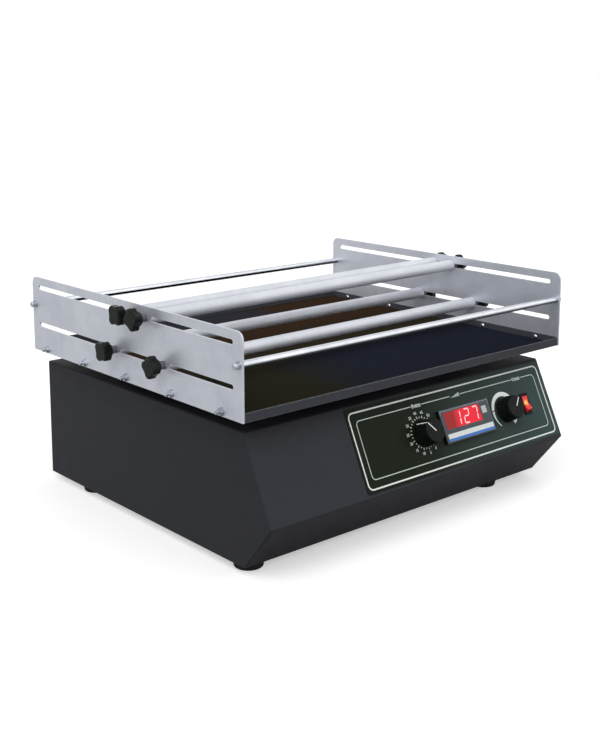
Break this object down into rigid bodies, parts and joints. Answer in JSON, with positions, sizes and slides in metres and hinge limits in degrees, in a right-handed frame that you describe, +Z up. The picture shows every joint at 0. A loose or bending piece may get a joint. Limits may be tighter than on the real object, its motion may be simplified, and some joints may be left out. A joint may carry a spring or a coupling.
{
  "type": "orbital shaker",
  "caption": "Bench orbital shaker with a wedge-fronted housing and a slotted-sided platform whose clamp bars hold vessels while it moves in a small circle.",
  "frame": {"origin": "on the bench, under the centre of the whole machine's outline", "axes": "+X to the machine's right as seen by its user, +Y to its back, +Z up"},
  "size_m": [0.5418, 0.4388, 0.2613],
  "materials": {
    "housing_paint": "textured powder coat",
    "plated_steel": "plated",
    "rubber": "matte",
    "fasteners": "bright",
    "panel_film": "semi-gloss film",
    "display_plastic": "gloss",
    "display_glass": "tinted",
    "black_plastic": "satin",
    "knob_plastic": "satin",
    "red_plastic": "translucent",
    "board": "matte",
    "brass": "plain",
    "machined_steel": "turned",
    "cast_aluminium": "machined",
    "motor_paint": "painted",
    "belt": "matte",
    "stainless": "brushed",
    "bar_aluminium": "satin",
    "tray_paint": "textured",
    "mat": "ribbed"
  },
  "bodies": {
    "base": {"housing_shell": "housing_paint", "base_plate": "plated_steel", "rubber_feet": "rubber", "foot_screws": "fasteners", "base_screws": "fasteners", "control_fascia": "panel_film", "display_case": "display_plastic", "display_window": "display_glass", "timer_unit": "black_plastic", "speed_potentiometer": "black_plastic", "switch_frame": "black_plastic", "mains_inlet": "black_plastic", "fuse_drawer": "black_plastic", "control_board": "board", "board_standoffs": "brass", "mechanism_deck": "plated_steel", "deck_posts": "plated_steel", "deck_screws": "fasteners", "bearing_housing": "cast_aluminium", "main_bearings": "machined_steel", "motor": "motor_paint", "drive_belt": "belt", "idler_blocks": "cast_aluminium"},
    "crank": {"eccentric_shaft": "machined_steel", "driven_pulley": "cast_aluminium", "counterweight": "machined_steel"},
    "motor_drive": {"motor_shaft": "machined_steel", "motor_pulley": "cast_aluminium"},
    "timer_dial": {"timer_knob": "black_plastic", "timer_spindle": "machined_steel"},
    "speed_dial": {"speed_knob": "black_plastic", "speed_spindle": "machined_steel"},
    "power_switch": {"power_rocker": "red_plastic"},
    "platform": {"tray": "tray_paint", "tray_mat": "mat", "side_plate_left": "stainless", "side_plate_right": "stainless", "plate_screws": "fasteners", "plate_nuts": "fasteners", "tie_rod_front": "stainless", "tie_rod_rear": "stainless", "tie_rod_screws": "fasteners", "centre_hub": "cast_aluminium", "idler_hubs": "cast_aluminium"},
    "idler_front_left": {"idler_crank_front_left": "machined_steel"},
    "idler_front_right": {"idler_crank_front_right": "machined_steel"},
    "idler_rear_left": {"idler_crank_rear_left": "machined_steel"},
    "idler_rear_right": {"idler_crank_rear_right": "machined_steel"},
    "bar_upper_rear": {"clamp_bar_upper_rear": "bar_aluminium"},
    "knob_upper_rear_left": {"clamp_knob_upper_rear_left": "knob_plastic"},
    "knob_upper_rear_right": {"clamp_knob_upper_rear_right": "knob_plastic"},
    "bar_upper_front": {"clamp_bar_upper_front": "bar_aluminium"},
    "knob_upper_front_left": {"clamp_knob_upper_front_left": "knob_plastic"},
    "knob_upper_front_right": {"clamp_knob_upper_front_right": "knob_plastic"},
    "bar_lower_rear": {"clamp_bar_lower_rear": "bar_aluminium"},
    "knob_lower_rear_left": {"clamp_knob_lower_rear_left": "knob_plastic"},
    "knob_lower_rear_right": {"clamp_knob_lower_rear_right": "knob_plastic"},
    "bar_lower_front": {"clamp_bar_lower_front": "bar_aluminium"},
    "knob_lower_front_left": {"clamp_knob_lower_front_left": "knob_plastic"},
    "knob_lower_front_right": {"clamp_knob_lower_front_right": "knob_plastic"}
  },
  "joints": [
    {"name": "crank_turn", "type": "hinge", "parent": "base", "child": "crank", "pos_m": [0, 0.0211, 0.11], "axis": [0, 0, 1], "continuous": true},
    {"name": "platform_orbit", "type": "hinge", "parent": "crank", "child": "platform", "pos_m": [0, 0.0111, 0.15], "axis": [0, 0, 1], "continuous": true},
    {"name": "motor_turn", "type": "hinge", "parent": "base", "child": "motor_drive", "pos_m": [0.1, 0.0811, 0.11], "axis": [0, 0, 1], "continuous": true},
    {"name": "timer_turn", "type": "hinge", "parent": "base", "child": "timer_dial", "pos_m": [0.0062, -0.19647, 0.10716], "axis": [0, -0.9027, 0.4303], "range_deg": [-127, 180]},
    {"name": "speed_turn", "type": "hinge", "parent": "base", "child": "speed_dial", "pos_m": [0.147, -0.19647, 0.10716], "axis": [0, -0.9027, 0.4303], "range_deg": [-108, 182]},
    {"name": "power_rock", "type": "hinge", "parent": "base", "child": "power_switch", "pos_m": [0.18505, -0.19539, 0.10664], "axis": [1, 0, 0], "range_deg": [0, 20]},
    {"name": "idler_front_left_turn", "type": "hinge", "parent": "base", "child": "idler_front_left", "pos_m": [-0.15, -0.0939, 0.125], "axis": [0, 0, 1], "continuous": true},
    {"name": "idler_front_right_turn", "type": "hinge", "parent": "base", "child": "idler_front_right", "pos_m": [0.15, -0.0939, 0.125], "axis": [0, 0, 1], "continuous": true},
    {"name": "idler_rear_left_turn", "type": "hinge", "parent": "base", "child": "idler_rear_left", "pos_m": [-0.15, 0.1361, 0.125], "axis": [0, 0, 1], "continuous": true},
    {"name": "idler_rear_right_turn", "type": "hinge", "parent": "base", "child": "idler_rear_right", "pos_m": [0.15, 0.1361, 0.125], "axis": [0, 0, 1], "continuous": true},
    {"name": "bar_upper_rear_slide", "type": "slide", "parent": "platform", "child": "bar_upper_rear", "axis": [0, 1, 0], "range_m": [-0.002, 0.185]},
    {"name": "knob_upper_rear_left_turn", "type": "hinge", "parent": "bar_upper_rear", "child": "knob_upper_rear_left", "pos_m": [-0.26192, 0.00181, 0.2488], "axis": [-0.9997, -0.0246, 0], "range_deg": [0, 360]},
    {"name": "knob_upper_rear_right_turn", "type": "hinge", "parent": "bar_upper_rear", "child": "knob_upper_rear_right", "pos_m": [0.26192, 0.01469, 0.2488], "axis": [0.9997, 0.0246, 0], "range_deg": [0, 360]},
    {"name": "bar_upper_front_slide", "type": "slide", "parent": "platform", "child": "bar_upper_front", "axis": [0, 1, 0], "range_m": [-0.145, 0.002]},
    {"name": "knob_upper_front_left_turn", "type": "hinge", "parent": "bar_upper_front", "child": "knob_upper_front_left", "pos_m": [-0.26191, -0.02922, 0.2488], "axis": [-0.9996, -0.0268, 0], "range_deg": [0, 360]},
    {"name": "knob_upper_front_right_turn", "type": "hinge", "parent": "bar_upper_front", "child": "knob_upper_front_right", "pos_m": [0.26191, -0.01518, 0.2488], "axis": [0.9996, 0.0268, 0], "range_deg": [0, 360]},
    {"name": "bar_lower_rear_slide", "type": "slide", "parent": "platform", "child": "bar_lower_rear", "axis": [0, 1, 0], "range_m": [-0.033, 0.161]},
    {"name": "knob_lower_rear_left_turn", "type": "hinge", "parent": "bar_lower_rear", "child": "knob_lower_rear_left", "pos_m": [-0.26197, 0.03143, 0.2034], "axis": [-0.9999, -0.0144, 0], "range_deg": [0, 360]},
    {"name": "knob_lower_rear_right_turn", "type": "hinge", "parent": "bar_lower_rear", "child": "knob_lower_rear_right", "pos_m": [0.26197, 0.03897, 0.2034], "axis": [0.9999, 0.0144, 0], "range_deg": [0, 360]},
    {"name": "bar_lower_front_slide", "type": "slide", "parent": "platform", "child": "bar_lower_front", "axis": [0, 1, 0], "range_m": [-0.115, 0.033]},
    {"name": "knob_lower_front_left_turn", "type": "hinge", "parent": "bar_lower_front", "child": "knob_lower_front_left", "pos_m": [-0.26197, -0.06209, 0.2034], "axis": [-0.9999, -0.016, 0], "range_deg": [0, 360]},
    {"name": "knob_lower_front_right_turn", "type": "hinge", "parent": "bar_lower_front", "child": "knob_lower_front_right", "pos_m": [0.26197, -0.05371, 0.2034], "axis": [0.9999, 0.016, 0], "range_deg": [0, 360]}
  ],
  "couplings": [
    {"joint": "platform_orbit", "follows": "crank_turn", "ratio": -1},
    {"joint": "motor_turn", "follows": "crank_turn", "ratio": 3.0588},
    {"joint": "idler_front_left_turn", "follows": "crank_turn", "ratio": 1},
    {"joint": "idler_front_right_turn", "follows": "crank_turn", "ratio": 1},
    {"joint": "idler_rear_left_turn", "follows": "crank_turn", "ratio": 1},
    {"joint": "idler_rear_right_turn", "follows": "crank_turn", "ratio": 1}
  ]
}
